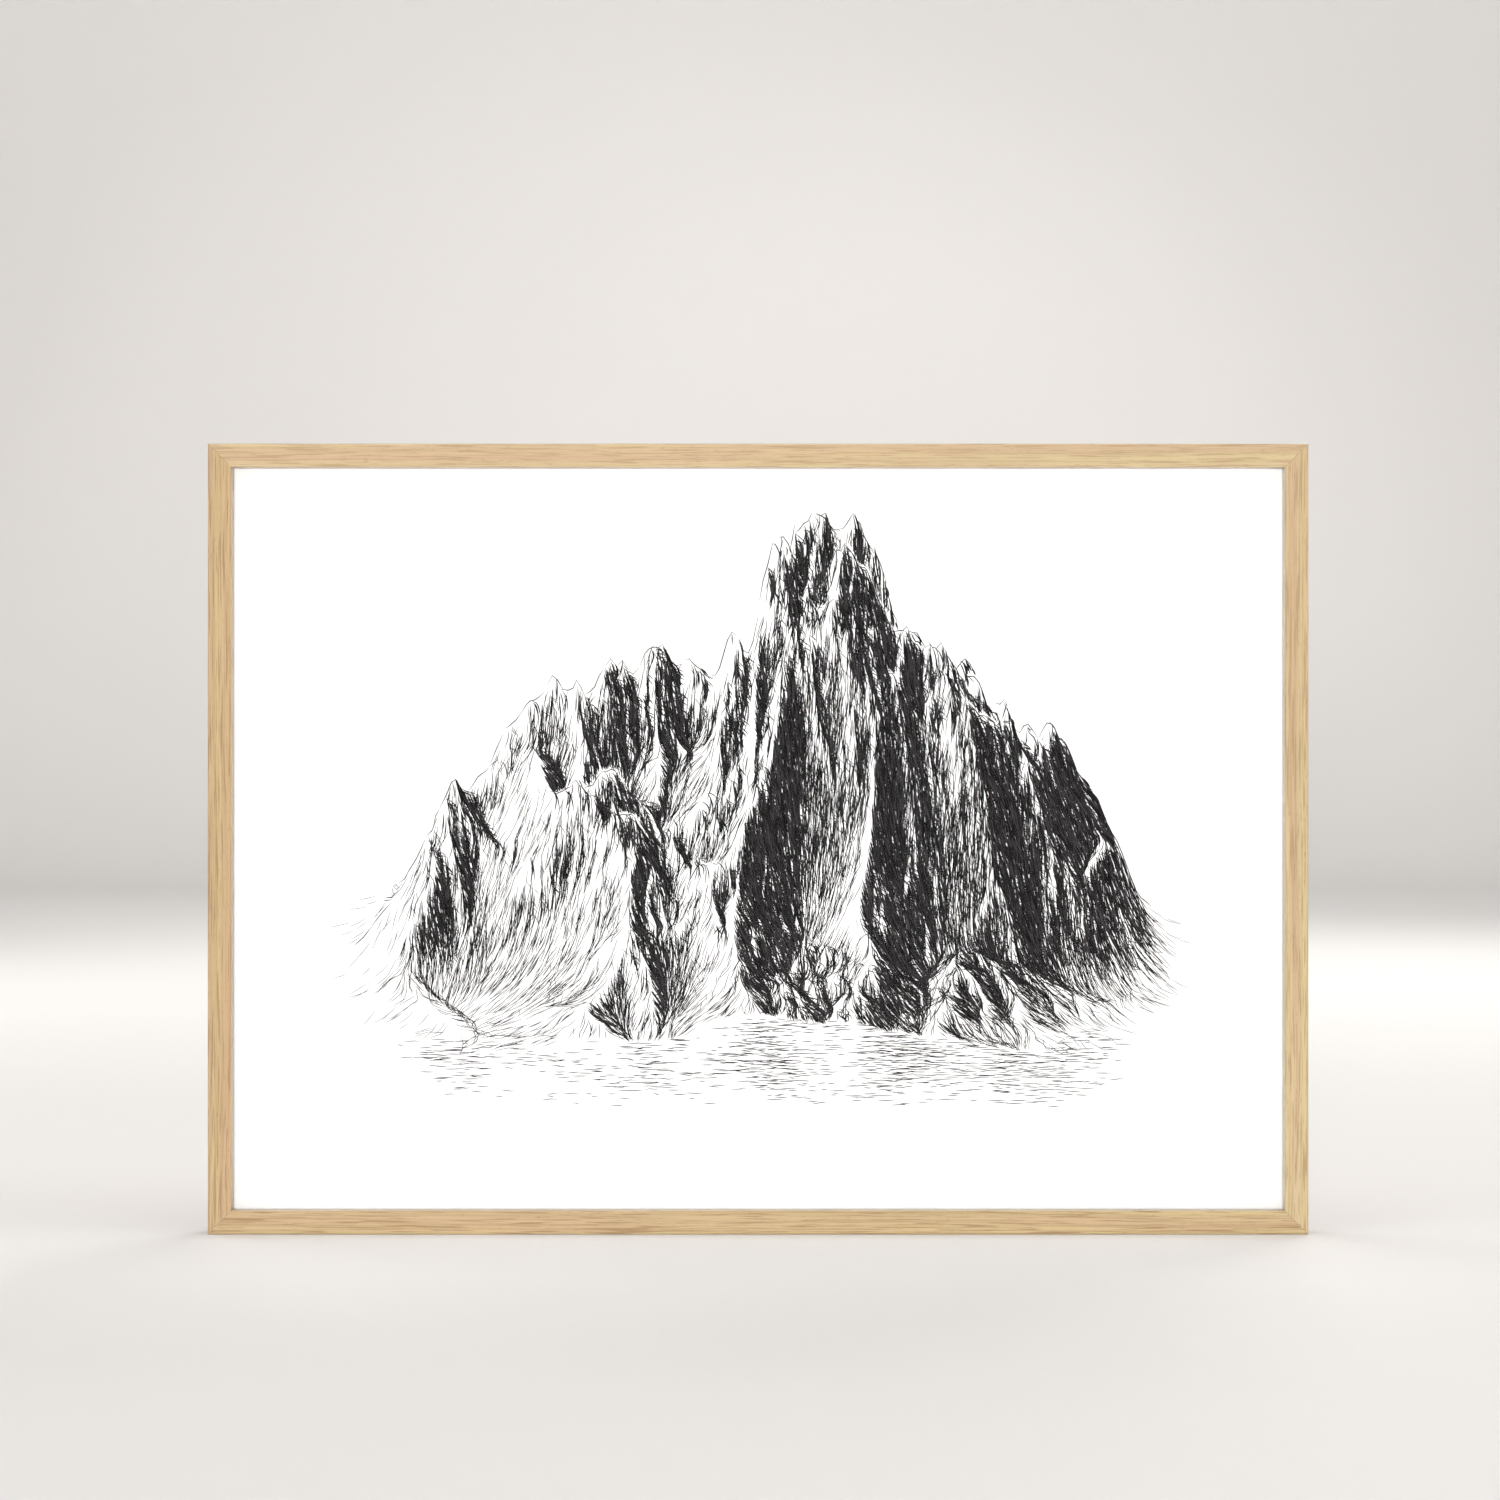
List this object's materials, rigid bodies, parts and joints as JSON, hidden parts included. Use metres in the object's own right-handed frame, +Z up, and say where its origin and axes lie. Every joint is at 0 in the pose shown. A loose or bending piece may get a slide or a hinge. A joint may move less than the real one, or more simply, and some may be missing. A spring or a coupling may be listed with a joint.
{
  "type": "framed print",
  "caption": "Landscape print behind glass in a slim mitred light oak frame, with a fibreboard back, turn buttons and ring hangers.",
  "frame": {"origin": "on the floor plane, at the middle of the whole part's box in width and depth", "axes": "+X to the right as a viewer faces the picture, +Y from the picture towards the wall behind it, +Z up"},
  "size_m": [0.6124, 0.0242, 0.44],
  "materials": {
    "oak": "satin",
    "clear_glass": "polished",
    "print_paper": "matte",
    "filler_card": "matte",
    "fibreboard": "matte",
    "zinc_steel": "satin",
    "bumper_rubber": "matte",
    "pen_ink": "matte"
  },
  "bodies": {
    "frame": {"rail_bottom": "oak", "rail_left": "oak", "rail_top": "oak", "rail_right": "oak", "glazing": "clear_glass", "print_sheet": "print_paper", "filler_board": "filler_card", "back_board": "fibreboard", "button_screw_bottom_left": "zinc_steel", "button_screw_bottom_right": "zinc_steel", "button_screw_top_left": "zinc_steel", "button_screw_top_right": "zinc_steel", "button_screw_left_upper": "zinc_steel", "button_screw_left_lower": "zinc_steel", "button_screw_right_upper": "zinc_steel", "button_screw_right_lower": "zinc_steel", "hanger_strap_left": "zinc_steel", "hanger_screw_left": "zinc_steel", "hanger_strap_right": "zinc_steel", "hanger_screw_right": "zinc_steel", "bumper_left": "bumper_rubber", "bumper_right": "bumper_rubber"},
    "turn_button_bottom_left": {"turn_button_bottom_left": "zinc_steel"},
    "turn_button_bottom_right": {"turn_button_bottom_right": "zinc_steel"},
    "turn_button_top_left": {"turn_button_top_left": "zinc_steel"},
    "turn_button_top_right": {"turn_button_top_right": "zinc_steel"},
    "turn_button_left_upper": {"turn_button_left_upper": "zinc_steel"},
    "turn_button_left_lower": {"turn_button_left_lower": "zinc_steel"},
    "turn_button_right_upper": {"turn_button_right_upper": "zinc_steel"},
    "turn_button_right_lower": {"turn_button_right_lower": "zinc_steel"},
    "hanger_ring_left": {"hanger_ring_left": "zinc_steel"},
    "hanger_ring_right": {"hanger_ring_right": "zinc_steel"}
  },
  "joints": [
    {"name": "turn_button_bottom_left_turn", "type": "hinge", "parent": "frame", "child": "turn_button_bottom_left", "pos_m": [-0.15, 0.00865, 0.0041], "axis": [0, 1, 0], "range_deg": [-90, 90]},
    {"name": "turn_button_bottom_right_turn", "type": "hinge", "parent": "frame", "child": "turn_button_bottom_right", "pos_m": [0.15, 0.00865, 0.0041], "axis": [0, 1, 0], "range_deg": [-90, 90]},
    {"name": "turn_button_top_left_turn", "type": "hinge", "parent": "frame", "child": "turn_button_top_left", "pos_m": [-0.15, 0.00865, 0.4359], "axis": [0, 1, 0], "range_deg": [-90, 90]},
    {"name": "turn_button_top_right_turn", "type": "hinge", "parent": "frame", "child": "turn_button_top_right", "pos_m": [0.15, 0.00865, 0.4359], "axis": [0, 1, 0], "range_deg": [-90, 90]},
    {"name": "turn_button_left_upper_turn", "type": "hinge", "parent": "frame", "child": "turn_button_left_upper", "pos_m": [-0.3021, 0.00865, 0.295], "axis": [0, 1, 0], "range_deg": [-90, 90]},
    {"name": "turn_button_left_lower_turn", "type": "hinge", "parent": "frame", "child": "turn_button_left_lower", "pos_m": [-0.3021, 0.00865, 0.145], "axis": [0, 1, 0], "range_deg": [-90, 90]},
    {"name": "turn_button_right_upper_turn", "type": "hinge", "parent": "frame", "child": "turn_button_right_upper", "pos_m": [0.3021, 0.00865, 0.295], "axis": [0, 1, 0], "range_deg": [-90, 90]},
    {"name": "turn_button_right_lower_turn", "type": "hinge", "parent": "frame", "child": "turn_button_right_lower", "pos_m": [0.3021, 0.00865, 0.145], "axis": [0, 1, 0], "range_deg": [-90, 90]},
    {"name": "hanger_ring_left_swing", "type": "hinge", "parent": "frame", "child": "hanger_ring_left", "pos_m": [-0.2851, 0.01015, 0.335], "axis": [0, 0, 1], "range_deg": [0, 180]},
    {"name": "hanger_ring_right_swing", "type": "hinge", "parent": "frame", "child": "hanger_ring_right", "pos_m": [0.2851, 0.01015, 0.335], "axis": [0, 0, -1], "range_deg": [0, 180]}
  ]
}
